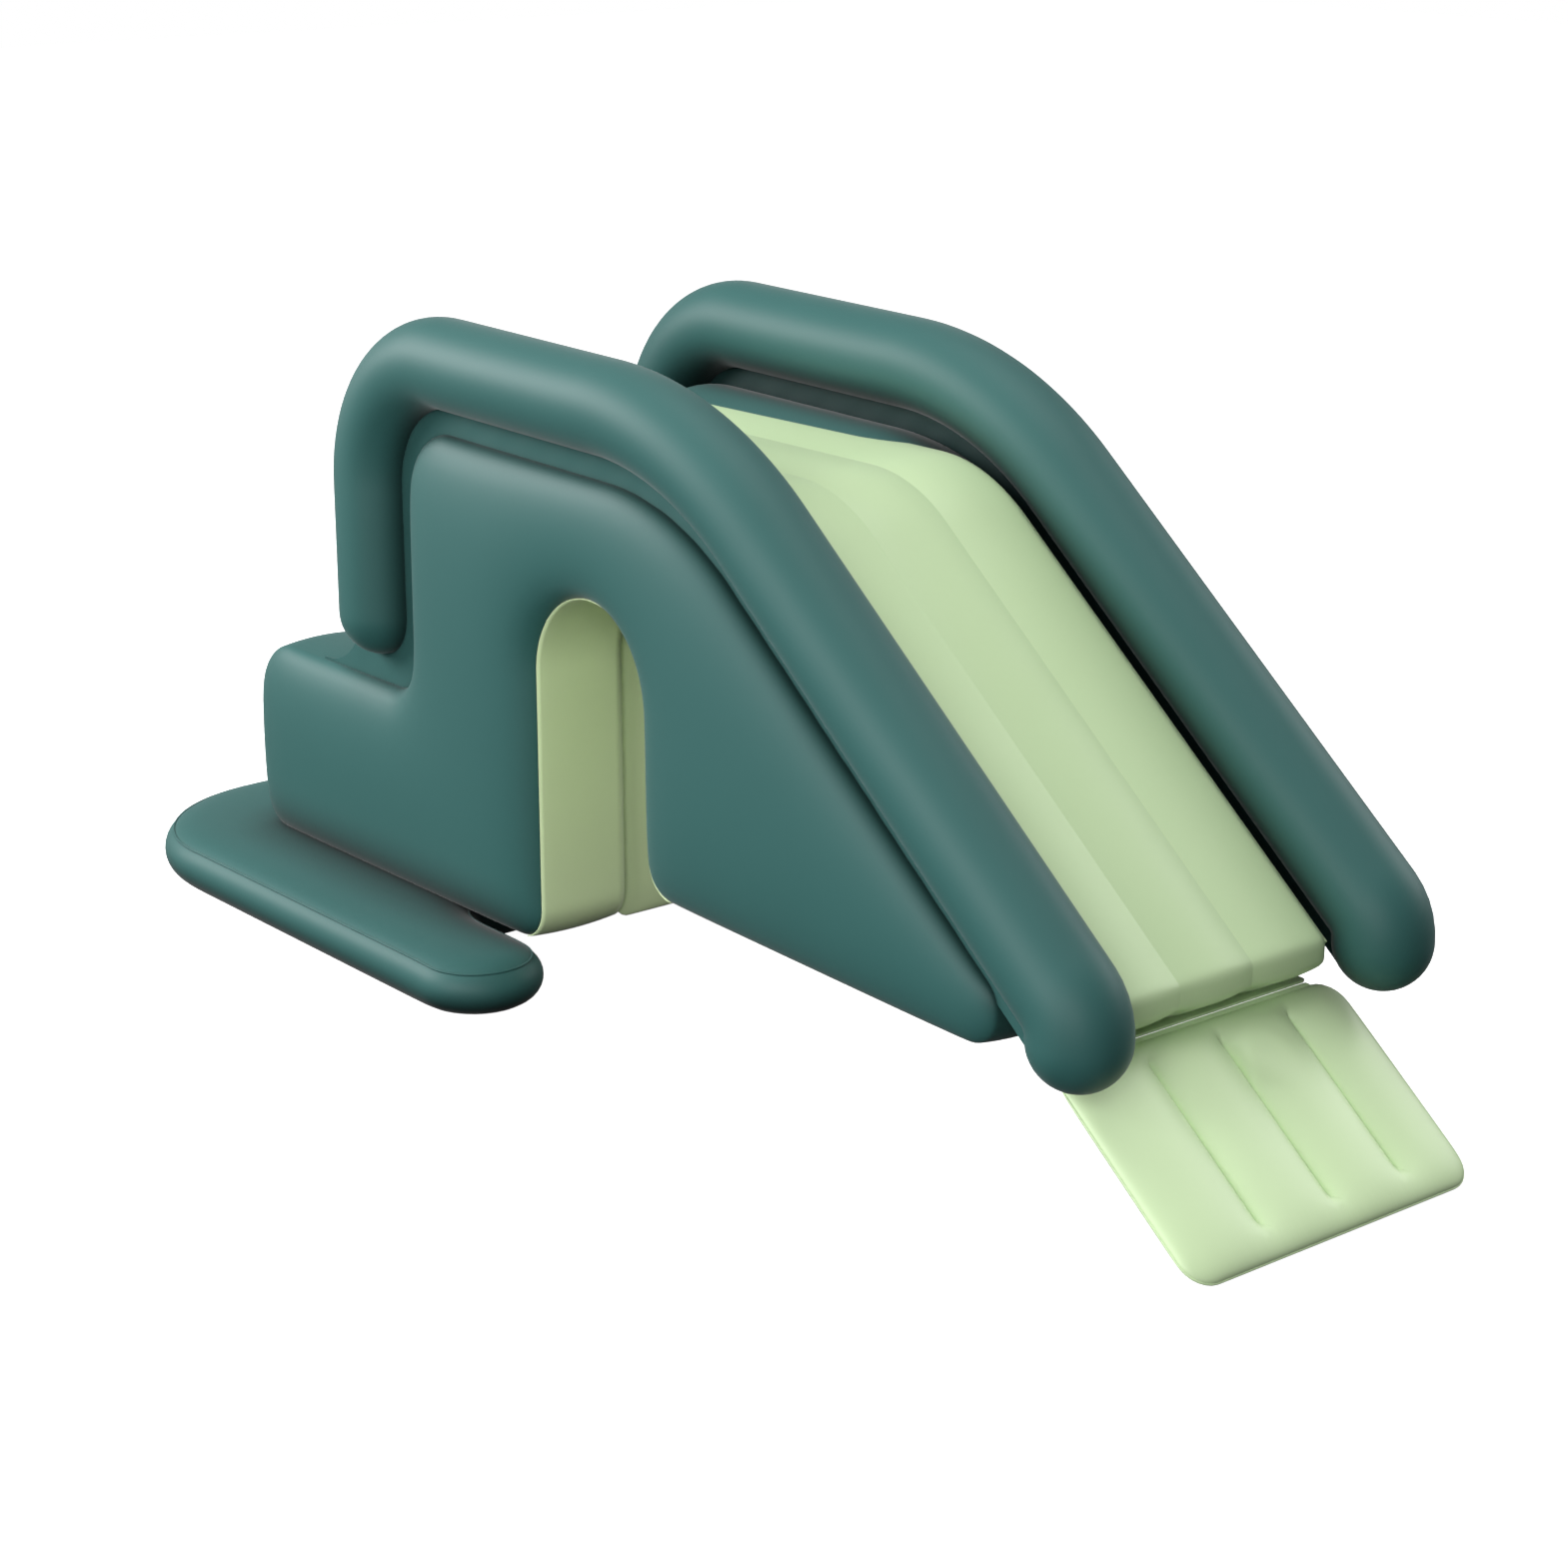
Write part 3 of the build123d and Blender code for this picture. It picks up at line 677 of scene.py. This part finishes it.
def webOutline():
    tuck = web["tuck"]
    inner = shiftedCorners(railCorners, railRadius - tuck)
    outer = shiftedCorners(railCorners, railToWall + tuck)
    bends = (form["rearBend"], form["frontBend"])
    legInner, legOuter = legX + railRadius - tuck, legX + railToWall + tuck
    legRear = legX - railRadius + tuck
    lowZ = form["treadZ"] - web["buried"]
    innerFootX = footX - railRadius + tuck
    outerFootX = belowSlopeX(railToWall + tuck, web["footZ"])
    corners = [
        (legRear, form["legEndZ"] + 0.010, 0),
        (legRear, form["legEndZ"] - railRadius + tuck, railRadius - tuck - 0.001),
        (legInner, form["legEndZ"] - railRadius + tuck, railRadius - tuck - 0.001),
        (*inner[1], bends[0] - railRadius + tuck),
        (*inner[2], bends[1] - railRadius + tuck),
        (innerFootX, belowSlope(railRadius - tuck, innerFootX), web["innerCorner"]),
        (innerFootX, web["footZ"], web["corner"]),
        (outerFootX, web["footZ"], web["corner"]),
        (*outer[2], bends[1] - railToWall - tuck),
        (*outer[1], bends[0] - railToWall - tuck),
        (legOuter, lowZ, web["innerCorner"]),
        (legX - web["flareX"], lowZ, 0.004),
        (legX - web["flareX"], form["treadZ"] + 0.003, 0.002),
        (legX - railRadius, form["treadZ"] + 0.005, web["flareRadius"]),
    ]
    return roundedLine(corners, 0.006, closed=True)


webShape = webOutline()
webSheet = cutSheet(webShape, web["spacing"], rings=(0.004,))
flat = webSheet["flat"]
sway = web["bend"] * np.sin(flat[:, 1] * web["bendZ"])
wave = np.sin(flat[:, 0] * web["waveX"] + sway) * np.sin(flat[:, 1] * web["waveZ"] + 1.3)
pucker = web["pucker"] * wave
halfWeb = web["thickness"] / 2
rightWeb = shell("right_web_strip", webSheet, -(rimY + halfWeb + pucker),
                 -(rimY - halfWeb + pucker), sidePoints)
rightWeb.data.set_sharp_from_angle(angle=math.radians(50))
leftWeb = mirrored("left_web_strip", rightWeb)
finish(rightWeb, "slide_body", tealPvc, ["right_rail_web"])
finish(leftWeb, "slide_body", tealPvc, ["left_rail_web"])
print("webs cut")

# ---- prisms across the slide: stairs and bed channels ----


def prism(name, outline, rowsY, offsetAt):
    # rings of one outline set across the slide, each moved in or out by its own amount
    normals = outwardNormals(outline)
    count = len(outline)
    rows = [sidePoints(outline + normals * offsetAt(y, outline)[:, None], y) for y in rowsY]
    faces = [tuple(range(count)), tuple(range((len(rows) - 1) * count, len(rows) * count))]
    for r in range(len(rows) - 1):
        for k in range(count):
            m = (k + 1) % count
            faces.append((r * count + k, r * count + m, (r + 1) * count + m, (r + 1) * count + k))
    piece = meshObject(name, np.vstack(rows), faces)
    piece.data.set_sharp_from_angle(angle=math.radians(62))
    return piece


def crowdedRows(low, high, count):
    # rows closer together towards both ends
    turn = np.linspace(0, math.pi, count)
    return (low + high) / 2 - (high - low) / 2 * np.cos(turn)


stairs = {"step": 0.007, "rows": 33, "seamDepth": 0.007, "edgeRound": 0.004,
          "frontX": -0.147, "landingX": -0.302, "ledgeZ": 0.62487,
          "landingCorner": 0.030, "corner": 0.010}
riserX = legX + railToWall
stairOutline = roundedLine([
    (stairLow.x, padTop, form["footCorner"]),
    (stairLow.x, form["treadZ"], form["treadCorner"]),
    (riserX, form["treadZ"], form["innerCorner"]),
    (riserX, form["deckZ"], stairs["landingCorner"]),
    (stairs["landingX"], form["deckZ"], stairs["corner"]),
    (stairs["landingX"], stairs["ledgeZ"], stairs["corner"]),
    (stairs["frontX"], stairs["ledgeZ"], stairs["corner"]),
    (stairs["frontX"], padTop, stairs["corner"]),
], stairs["step"], closed=True)


def stairOffset(y, outline):
    across = abs(y) / wallInnerY
    depth = stairs["seamDepth"] * across ** 2 + stairs["edgeRound"] * across ** 12
    return np.full(len(outline), -depth)


rows = crowdedRows(-wallInnerY, wallInnerY, stairs["rows"])
piece = prism("stair_chamber", stairOutline, rows, stairOffset)
cutPocket(piece, "stairs")
finish(piece, "slide_body", tealPvc, ["stair_block"])
print("stairs blown up")

bed = {
    "rearX": -0.300,
    "thickness": 0.082,
    "bend": 0.225,
    "noseX": 0.808,
    "heelZ": 0.187,
    "noseRise": 0.030,
    "corner": 0.030,
    "noseCorner": 0.018,
    "noseLowCorner": 0.012,
    "heelCorner": 0.020,
    "step": 0.007,
    "rows": 27,
    "half": 0.185,           # outer edges tuck under the rails
    "seamY": 0.057,
    "seamDepth": 0.0055,
    "edgeRound": 0.018,
}


def bedTop(sink):
    gap = form["bedBelowRail"] + sink
    deck = form["deckZ"] - sink
    return belowSlopeX(gap, deck), deck, gap


bendX, bendZ, topGap = bedTop(0)
underX, underZ, underGap = bedTop(bed["thickness"])
bedOutline = roundedLine([
    (bed["rearX"], form["deckZ"], bed["corner"]),
    (bendX, bendZ, bed["bend"]),
    (bed["noseX"], belowSlope(topGap, bed["noseX"]), bed["noseCorner"]),
    (bed["noseX"], bed["heelZ"] + bed["noseRise"], bed["noseLowCorner"]),
    (belowSlopeX(underGap, bed["heelZ"]), bed["heelZ"], bed["heelCorner"]),
    (underX, underZ, bed["bend"] - bed["thickness"]),
    (bed["rearX"], form["deckZ"] - bed["thickness"], bed["corner"]),
], bed["step"], closed=True)

halfBed, seamY = bed["half"], bed["seamY"]


def channelOffset(y, outline):
    low, high = (-seamY, seamY) if abs(y) <= seamY + 1e-9 else (seamY, halfBed)
    across = abs(2 * abs(y) - low - high) / (high - low)
    depth = bed["seamDepth"] * across ** 2
    outer = max(0.0, bed["edgeRound"] - (halfBed - abs(y)))
    depth += bed["edgeRound"] - math.sqrt(max(0.0, bed["edgeRound"] ** 2 - outer ** 2))
    return np.full(len(outline), -depth)


for name, low, high in (
        ("right", -halfBed, -seamY), ("middle", -seamY, seamY), ("left", seamY, halfBed)):
    rows = crowdedRows(low, high, bed["rows"])
    piece = prism("bed_channel_" + name, bedOutline, rows, channelOffset)
    if name == "middle":
        cutPocket(piece, "bed")
    finish(piece, "slide_body", greenPvc, ["slide_channel_" + name])
print("bed channels blown up")

# the welded lip along the bed's two long edges
lip = {"radius": 0.0022, "sink": 0.0145, "step": 0.010, "out": -0.0018,
       "rearIn": 0.020, "noseIn": 0.012}
lipX, lipZ, lipGap = bedTop(lip["sink"])
lipEndX = bed["noseX"] - lip["noseIn"]
lipLine = roundedLine([
    (bed["rearX"] + lip["rearIn"], lipZ, 0),
    (lipX, lipZ, bed["bend"]),
    (lipEndX, belowSlope(lipGap, lipEndX), 0),
], 0.004)
for side, sign in (("right", -1), ("left", 1)):
    path = sidePoints(lipLine, sign * (halfBed + lip["out"]))
    piece = alongLine(side + "_bed_lip", path, False, beadTree, {
        "Radius": lip["radius"], "Step": lip["step"], "Material": greenPvc})
    finish(piece, "slide_body", greenPvc, [side + "_bed_flange"])

# ---- tunnel: pale lining and rear panel ----

liner = {"proud": 0.0012, "thickness": 0.0014, "rows": 12, "lipRise": 0.006, "flareX": 0.040,
         "lipTurn": 0.0012, "footX": -0.1, "footZ": 0.1}
x, z = wallOutline.T
inTunnel = (z < form["tunnelTopZ"] + 0.002) & (x > form["tunnelRearX"] - liner["flareX"])
inTunnel &= x < form["tunnelFrontX"] + liner["flareX"]
inTunnel &= (z >= liner["footZ"]) | (x <= liner["footX"])
order = np.flatnonzero(inTunnel)
breaks = np.flatnonzero(np.diff(order) > 1)
start = order[breaks[0] + 1] if len(breaks) else order[0]
count = len(order)
picked = (start + np.arange(count)) % len(wallOutline)
rows = []
for k in range(liner["rows"] + 1):
    rows.append(bandRow(k / liner["rows"], liner["proud"])[picked])
lipRow = rows[0].copy()
lipRow[:, 1] -= liner["lipRise"]
lipRow[:, [0, 2]] -= wallNormals[picked] * liner["lipTurn"]
rows.insert(0, lipRow)
faces = []
for r in range(len(rows) - 1):
    for k in range(count - 1):
        faces.append((r * count + k, (r + 1) * count + k, (r + 1) * count + k + 1, r * count + k + 1))
rightLiner = meshObject("right_tunnel_lining", np.vstack(rows), faces, closed=False)
leftLiner = mirrored("left_tunnel_lining", rightLiner)
for piece in (rightLiner, leftLiner):
    film = piece.modifiers.new("film", "SOLIDIFY")
    film.thickness = liner["thickness"]
    film.offset = 0
finish(rightLiner, "slide_body", liningLitPvc, ["right_tunnel_liner"])
finish(leftLiner, "slide_body", liningLitPvc, ["left_tunnel_liner"])

panel = {"rimX": -0.1475, "bulge": 0.011, "reach": 0.030, "corner": 0.020, "spacing": 0.010,
         "topZ": 0.6245, "edgeStep": 0.007, "backing": 0.002}
panelOutline = roundedLine([
    (-wallInnerY, padTop, panel["corner"]), (wallInnerY, padTop, panel["corner"]),
    (wallInnerY, panel["topZ"], panel["corner"]), (-wallInnerY, panel["topZ"], panel["corner"]),
], panel["edgeStep"], closed=True)
panelSheet = cutSheet(panelOutline, panel["spacing"])
lift = inflate(panelSheet, panel["reach"])


def panelPoints(flat, x):
    return np.stack([np.broadcast_to(x, len(flat)), flat[:, 0], flat[:, 1]], 1)


piece = shell("tunnel_panel", panelSheet, panel["rimX"] + panel["bulge"] * lift,
              np.full(len(lift), panel["rimX"] - panel["backing"]), panelPoints)
finish(piece, "slide_body", liningLitPvc, ["tunnel_rear_panel"])
print("tunnel lined")

# ---- base pad ----

pad = {
    "half": 0.038, "crown": 0.0405, "reach": 0.023, "spacing": 0.011, "edgeStep": 0.008,
    "notchHalf": 0.233, "armX": -0.090, "notchX": -0.330,
    "rearCorner": 0.235, "armOuter": 0.085, "armInner": 0.080, "notchCorner": 0.060,
    "seamRadius": 0.0016, "seamRing": 4, "seamLift": 0.0002, "seamStep": 0.008,
    "levelInner": 0.024, "levelOuter": 0.070,
}
padX, padY = padLow.x, padHigh.y
padOutline = roundedLine([
    (padX, -padY, pad["rearCorner"]),
    (pad["armX"], -padY, pad["armOuter"]),
    (pad["armX"], -pad["notchHalf"], pad["armInner"]),
    (pad["notchX"], -pad["notchHalf"], pad["notchCorner"]),
    (pad["notchX"], pad["notchHalf"], pad["notchCorner"]),
    (pad["armX"], pad["notchHalf"], pad["armInner"]),
    (pad["armX"], padY, pad["armOuter"]),
    (padX, padY, pad["rearCorner"]),
], pad["edgeStep"], closed=True)
padSheet = cutSheet(padOutline, pad["spacing"])
lift = inflate(padSheet, pad["reach"])


def levelled(height, flat, centre, level, inner, outer):
    # the skin lies level round a stiff valve disc
    gap = np.linalg.norm(flat - np.array(centre), axis=1)
    return height + (level - height) * (1 - smoothStep(gap, inner, outer))


def flatPoints(flat, z):
    return np.stack([flat[:, 0], flat[:, 1], np.broadcast_to(z, len(flat))], 1)


centre = valveCentre("pad")
top = pad["half"] + pad["crown"] * lift
top = levelled(top, padSheet["flat"], centre[:2], padTop, pad["levelInner"], pad["levelOuter"])
bottom = np.maximum(pad["half"] - pad["crown"] * lift, 0.0)
piece = shell("pad_chamber", padSheet, top, bottom, flatPoints)
cutPocket(piece, "pad")
finish(piece, "slide_body", tealPvc, ["base_pad"])
seam = padSheet["rings"][pad["seamRing"]]
seamPath = flatPoints(padSheet["flat"][seam], top[seam] + pad["seamLift"])
piece = alongLine("pad_weld_line", seamPath, True, beadTree, {
    "Radius": pad["seamRadius"], "Step": pad["seamStep"], "Material": tealPvc})
finish(piece, "slide_body", tealPvc)
print("base pad blown up")

# ---- landing mat ----

mat = {
    "start": 0.006, "width": 0.443, "corner": 0.034, "seams": 3, "hingeMargin": 0.030, "groundMargin": 0.048,
    "seamShift": 0.014,      # the seams lie a little towards +Y
    "reach": 0.036, "spacing": 0.008, "edgeStep": 0.006,
    "seamHalf": 0.0015,      # what is left of the thickness along a seam
    "rimRadius": 0.0014, "rimStep": 0.008,
    "topLevel": (0.020, 0.046), "bottomLevel": (0.022, 0.050),
}
matEnd, halfMat = matLength, mat["width"] / 2
matOutline = roundedLine([
    (mat["start"], -halfMat, mat["corner"]), (matEnd, -halfMat, mat["corner"]),
    (matEnd, halfMat, mat["corner"]), (mat["start"], halfMat, mat["corner"]),
], mat["edgeStep"], closed=True)
pitch = mat["width"] / (mat["seams"] + 1)
seams = []
for number in range(mat["seams"]):
    y = -halfMat + pitch * (number + 1) + mat["seamShift"]
    ends = np.array([(mat["start"] + mat["hingeMargin"], y), (matEnd - mat["groundMargin"], y)])
    seams.append(spacedLine(ends, mat["edgeStep"]))
matSheet = cutSheet(matOutline, mat["spacing"], seams)
lift = inflate(matSheet, mat["reach"])


def matPoints(flat, rise):
    base = np.array(matHinge)[None] + flat[:, :1] * np.array(matAlong)[None]
    base = base + np.outer(np.broadcast_to(rise, len(flat)), np.array(matUp))
    base[:, 1] += flat[:, 1]
    return base


half = matThickness / 2
centre = valveCentre("mat") - matHinge
centreFlat = (centre.dot(matAlong), centre.y)
top = half * lift
top = levelled(top, matSheet["flat"], centreFlat, half, *mat["topLevel"])
bottom = levelled(-half * lift, matSheet["flat"], centreFlat, -half, *mat["bottomLevel"])
inSeam = matSheet["held"].copy()
inSeam[matSheet["rim"]] = False
top[inSeam] = mat["seamHalf"]
bottom[inSeam] = -mat["seamHalf"]
piece = shell("landing_mat_pillow", matSheet, top, bottom, matPoints)
cutPocket(piece, "mat")
finish(piece, "mat", matLitPvc, ["landing_mat"])
rimPath = matPoints(matSheet["flat"][matSheet["rim"]], 0)
piece = alongLine("mat_weld_rim", rimPath, True, beadTree, {
    "Radius": mat["rimRadius"], "Step": mat["rimStep"], "Material": matLitPvc})
finish(piece, "mat", matLitPvc)

# the welded tab and strip that the mat hangs by
flap = {"halfWidth": halfMat - 0.034, "thickness": 0.003, "corner": 0.006, "tabEnd": 0.033,
        "rimShare": 0.8}


def flapSheet(low, high):
    outline = roundedLine([
        (low, -flap["halfWidth"], flap["corner"]), (high, -flap["halfWidth"], flap["corner"]),
        (high, flap["halfWidth"], flap["corner"]), (low, flap["halfWidth"], flap["corner"]),
    ], 0.005, closed=True)
    return cutSheet(outline, 0.006, rings=(0.0006, 0.0015, 0.003))


tabSheet = flapSheet(0.0004, flap["tabEnd"])
edge = flap["thickness"] / 2
lift = np.ones(len(tabSheet["flat"]))
lift[tabSheet["rim"]] = flap["rimShare"]
piece = shell("mat_tab", tabSheet, edge * lift, -edge * lift, matPoints)
finish(piece, "mat", matLitPvc, ["mat_hinge_tab"])
stripLow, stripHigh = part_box("mat_hinge_strip")
stripSheet = flapSheet(stripLow.x, stripHigh.x)
lift = np.ones(len(stripSheet["flat"]))
middle = (stripLow.z + stripHigh.z) / 2
piece = shell("mat_strip", stripSheet, middle + edge * lift, middle - edge * lift, flatPoints)
finish(piece, "slide_body", matLitPvc, ["mat_hinge_strip"])
print("landing mat blown up")

# ---- valves keep their moulded shape ----

for name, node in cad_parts.items():
    if "_valve_" in name:
        node.data.materials.clear()
        node.data.materials.append(valvePvc)

# ---- studio ----

studio = {
    "backdrop": 1.0, "below": 0.02, "above": 0.24, "floorGlow": 0.97,
    "keyPower": 172, "keyPlace": (-3.2, -2.4, 2.2), "keySize": 1.8,
    "fillPower": 40, "fillPlace": (2.6, -2.6, 1.5), "fillSize": 1.6,
    "sidePower": 66, "sidePlace": (0.5, -3.6, 1.6), "sideSize": 1.6,
    "topPower": 55, "topPlace": (0.2, 0.2, 3.6), "topSize": 2.6,
    "rimPower": 60, "rimPlace": (1.2, 3.5, 2.0), "rimSize": 2.2,
    "lampAim": (0.0, 0.0, 0.4), "floorHalf": 14, "floorDrop": 0.0006,
    "lens": 75.3, "sensor": 36,
    "cameraPlace": (3.099, -2.490, 1.509), "cameraLook": (-0.7389, 0.6047, -0.2972),
}
floorMesh = bpy.data.meshes.new("studio_floor")
reach, drop = studio["floorHalf"], -studio["floorDrop"]
floorCorners = [(x * reach, y * reach, drop) for x, y in ((-1, -1), (1, -1), (1, 1), (-1, 1))]
floorMesh.from_pydata(floorCorners, [], [(0, 1, 2, 3)])
floor = bpy.data.objects.new("studio_floor", floorMesh)
bpy.context.scene.collection.objects.link(floor)
floorPaint = bpy.data.materials.new("matt white sweep")
floorPaint.use_nodes = True
shader = floorPaint.node_tree.nodes["Principled BSDF"]
shader.inputs["Base Color"].default_value = linearColour("#fbfbfa")
shader.inputs["Roughness"].default_value = 0.9
shader.inputs["Emission Color"].default_value = (1, 1, 1, 1)
shader.inputs["Emission Strength"].default_value = studio["floorGlow"]
floor.visible_diffuse = False
floor.visible_glossy = False
floorMesh.materials.append(floorPaint)

world = bpy.data.worlds.new("white studio")
world.use_nodes = True
air = world.node_tree
air.nodes.clear()
seen = addNode(air, "ShaderNodeLightPath", {}, {}).outputs["Is Camera Ray"]
towards = addNode(air, "ShaderNodeTexCoord", {}, {}).outputs["Generated"]
height = addNode(air, "ShaderNodeSeparateXYZ", {}, {"Vector": towards}).outputs["Z"]
sky = addNode(air, "ShaderNodeMapRange", {}, {
    "Value": height, "From Min": -0.3, "From Max": 0.9,
    "To Min": studio["below"], "To Max": studio["above"]})
level = addNode(air, "ShaderNodeMix", {"data_type": "FLOAT"}, {
    0: seen, 2: sky.outputs["Result"], 3: studio["backdrop"]})
glow = addNode(air, "ShaderNodeBackground", {}, {
    "Color": (1, 1, 1, 1), "Strength": level.outputs[0]})
addNode(air, "ShaderNodeOutputWorld", {}, {"Surface": glow.outputs["Background"]})
bpy.context.scene.world = world
aim = Vector(studio["lampAim"])
for name in ("key", "fill", "side", "top", "rim"):
    lamp = bpy.data.lights.new(name + "_softbox", "AREA")
    lamp.shape = "SQUARE"
    lamp.size = studio[name + "Size"]
    lamp.energy = studio[name + "Power"]
    holder = bpy.data.objects.new(name + "_softbox", lamp)
    holder.location = studio[name + "Place"]
    holder.rotation_mode = "QUATERNION"
    holder.rotation_quaternion = (aim - holder.location).to_track_quat("-Z", "Y")
    bpy.context.scene.collection.objects.link(holder)
bpy.context.scene.view_settings.view_transform = "Standard"

cameraData = bpy.data.cameras.new("camera")
cameraData.lens = studio["lens"]
cameraData.sensor_width = studio["sensor"]
camera = bpy.data.objects.new("camera", cameraData)
camera.location = studio["cameraPlace"]
camera.rotation_mode = "QUATERNION"
camera.rotation_quaternion = Vector(studio["cameraLook"]).to_track_quat("-Z", "Y")
bpy.context.scene.collection.objects.link(camera)
bpy.context.scene.camera = camera
print("studio set")
